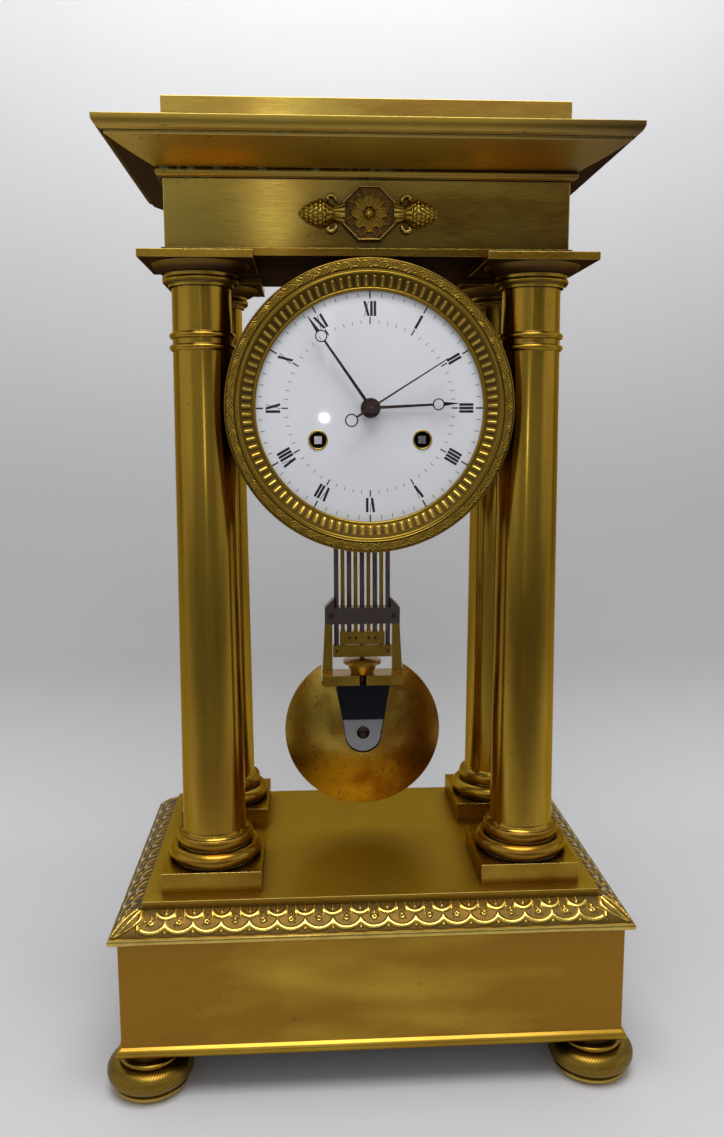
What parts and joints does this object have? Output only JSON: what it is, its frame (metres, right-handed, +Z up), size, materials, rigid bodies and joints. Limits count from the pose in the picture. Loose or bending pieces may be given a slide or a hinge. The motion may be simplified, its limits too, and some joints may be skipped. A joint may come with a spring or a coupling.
{
  "type": "mantel clock",
  "caption": "Portico mantel clock: gilt columns on a base with bun feet carry an entablature and a round enamel dial; a gridiron pendulum swings between the columns.",
  "frame": {"origin": "on the table, under the centre of the base", "axes": "+Z up, +Y from the dial towards the back, +X to the right as seen from the front"},
  "size_m": [0.2558, 0.176, 0.4567],
  "materials": {
    "gilt_brass": "satin gilt, worn",
    "movement_brass": "polished",
    "bell_metal": "turned bell metal",
    "steel": "polished",
    "dark_brass": "dark patina",
    "blued_steel": "blued",
    "enamel": "gloss white"
  },
  "bodies": {
    "case": {"bun_feet": "gilt_brass", "base_lower_moulding": "gilt_brass", "base_plinth_box": "gilt_brass", "base_rim_moulding": "gilt_brass", "base_top_slab": "gilt_brass", "column_tie_rods": "steel", "soffit_plate": "gilt_brass", "frieze_box": "gilt_brass", "cornice": "gilt_brass", "attic_block": "gilt_brass", "frieze_ornament": "gilt_brass", "movement_drum": "movement_brass", "drum_saddle": "movement_brass", "bezel": "gilt_brass", "dial": "enamel", "front_plate": "movement_brass", "back_plate": "movement_brass", "movement_pillars": "movement_brass", "suspension_cock": "movement_brass", "bell_stand": "steel", "bell": "bell_metal", "column_base_front_left": "gilt_brass", "column_shaft_front_left": "gilt_brass", "column_capital_front_left": "gilt_brass", "column_base_front_right": "gilt_brass", "column_shaft_front_right": "gilt_brass", "column_capital_front_right": "gilt_brass", "column_base_rear_left": "gilt_brass", "column_shaft_rear_left": "gilt_brass", "column_capital_rear_left": "gilt_brass", "column_base_rear_right": "gilt_brass", "column_shaft_rear_right": "gilt_brass", "column_capital_rear_right": "gilt_brass"},
    "seconds": {"escape_wheel": "movement_brass", "seconds_hand": "blued_steel"},
    "minute": {"centre_wheel": "movement_brass", "cannon_pinion": "steel", "minute_hand": "blued_steel"},
    "hour": {"hour_wheel": "movement_brass", "hour_hand": "blued_steel"},
    "minute_work": {"minute_wheel": "movement_brass"},
    "third": {"third_wheel": "movement_brass"},
    "intermediate": {"intermediate_wheel": "movement_brass"},
    "going_barrel": {"going_barrel": "movement_brass"},
    "going_arbor": {"going_winding_arbor": "steel"},
    "strike_barrel": {"strike_barrel": "movement_brass"},
    "strike_arbor": {"strike_winding_arbor": "steel"},
    "strike_second": {"strike_second_wheel": "movement_brass", "count_wheel": "movement_brass"},
    "strike_pin": {"pin_wheel": "movement_brass"},
    "fly": {"fly": "movement_brass"},
    "hammer": {"hammer": "steel"},
    "pallets": {"pallets": "steel"},
    "pendulum": {"gridiron_steel_rods": "steel", "gridiron_brass_rods": "gilt_brass", "gridiron_crossbars": "dark_brass"},
    "bob": {"bob_stirrup": "dark_brass", "bob": "gilt_brass", "bob_plate": "steel"},
    "rating_nut": {"rating_nut": "gilt_brass"}
  },
  "joints": [
    {"name": "seconds_turn", "type": "hinge", "parent": "case", "child": "seconds", "pos_m": [0, -0.00981, 0.3209], "axis": [0, 1, 0], "continuous": true},
    {"name": "minute_turn", "type": "hinge", "parent": "case", "child": "minute", "pos_m": [0, -0.01731, 0.3209], "axis": [0, 1, 0], "continuous": true},
    {"name": "hour_turn", "type": "hinge", "parent": "case", "child": "hour", "pos_m": [0, -0.05121, 0.3209], "axis": [0, 1, 0], "continuous": true},
    {"name": "minute_work_turn", "type": "hinge", "parent": "case", "child": "minute_work", "pos_m": [0, -0.04901, 0.3329], "axis": [0, 1, 0], "continuous": true},
    {"name": "third_turn", "type": "hinge", "parent": "case", "child": "third", "pos_m": [0, -0.01361, 0.3029], "axis": [0, 1, 0], "continuous": true},
    {"name": "intermediate_turn", "type": "hinge", "parent": "case", "child": "intermediate", "pos_m": [0.01737, -0.02131, 0.32834], "axis": [0, 1, 0], "continuous": true},
    {"name": "going_barrel_turn", "type": "hinge", "parent": "case", "child": "going_barrel", "pos_m": [0.02391, -0.02531, 0.3065], "axis": [0, 1, 0], "continuous": true},
    {"name": "going_winding", "type": "hinge", "parent": "case", "child": "going_arbor", "pos_m": [0.02391, -0.04681, 0.3065], "axis": [0, 1, 0], "range_deg": [0, 1800]},
    {"name": "strike_pin_turn", "type": "hinge", "parent": "case", "child": "strike_pin", "pos_m": [-0.02719, -0.01731, 0.34791], "axis": [0, 1, 0], "continuous": true},
    {"name": "strike_second_turn", "type": "hinge", "parent": "case", "child": "strike_second", "pos_m": [-0.02391, -0.02131, 0.3293], "axis": [0, 1, 0], "continuous": true},
    {"name": "strike_barrel_turn", "type": "hinge", "parent": "case", "child": "strike_barrel", "pos_m": [-0.02391, -0.02531, 0.3065], "axis": [0, 1, 0], "continuous": true},
    {"name": "fly_turn", "type": "hinge", "parent": "case", "child": "fly", "pos_m": [-0.01628, -0.01731, 0.35421], "axis": [0, 1, 0], "continuous": true},
    {"name": "strike_winding", "type": "hinge", "parent": "case", "child": "strike_arbor", "pos_m": [-0.02391, -0.04681, 0.3065], "axis": [0, 1, 0], "range_deg": [0, 1800]},
    {"name": "hammer_swing", "type": "hinge", "parent": "case", "child": "hammer", "pos_m": [-0.04602, -0.00181, 0.29888], "axis": [0, 1, 0], "range_deg": [-14, 3.4], "stiffness_Nm_per_rad": 0.08},
    {"name": "pendulum_swing", "type": "hinge", "parent": "case", "child": "pendulum", "pos_m": [0, 0.01719, 0.3959], "axis": [0, 1, 0], "range_deg": [-3, 3]},
    {"name": "pallets_rock", "type": "hinge", "parent": "case", "child": "pallets", "pos_m": [0, -0.00981, 0.34694], "axis": [0, 1, 0], "range_deg": [-5.6, 5.6]},
    {"name": "bob_height", "type": "slide", "parent": "pendulum", "child": "bob", "axis": [0, 0, 1], "range_m": [-0.004, 0.001]},
    {"name": "rating_nut_turn", "type": "hinge", "parent": "bob", "child": "rating_nut", "pos_m": [0, 0.01719, 0.1792], "axis": [0, 0, 1], "range_deg": [-2057.2, 514.3]}
  ],
  "couplings": [
    {"joint": "minute_turn", "follows": "seconds_turn", "ratio": 0.016667},
    {"joint": "hour_turn", "follows": "seconds_turn", "ratio": 0.0013889},
    {"joint": "minute_work_turn", "follows": "seconds_turn", "ratio": -0.0055556},
    {"joint": "third_turn", "follows": "seconds_turn", "ratio": -0.13333},
    {"joint": "intermediate_turn", "follows": "seconds_turn", "ratio": -0.0027778},
    {"joint": "going_barrel_turn", "follows": "seconds_turn", "ratio": 0.00042088},
    {"joint": "strike_second_turn", "follows": "strike_pin_turn", "ratio": -0.16667},
    {"joint": "strike_barrel_turn", "follows": "strike_pin_turn", "ratio": 0.025253},
    {"joint": "fly_turn", "follows": "strike_pin_turn", "ratio": -6},
    {"joint": "pallets_rock", "follows": "pendulum_swing", "ratio": 1.8026},
    {"joint": "rating_nut_turn", "follows": "bob_height", "rad_per_m": 8976}
  ]
}
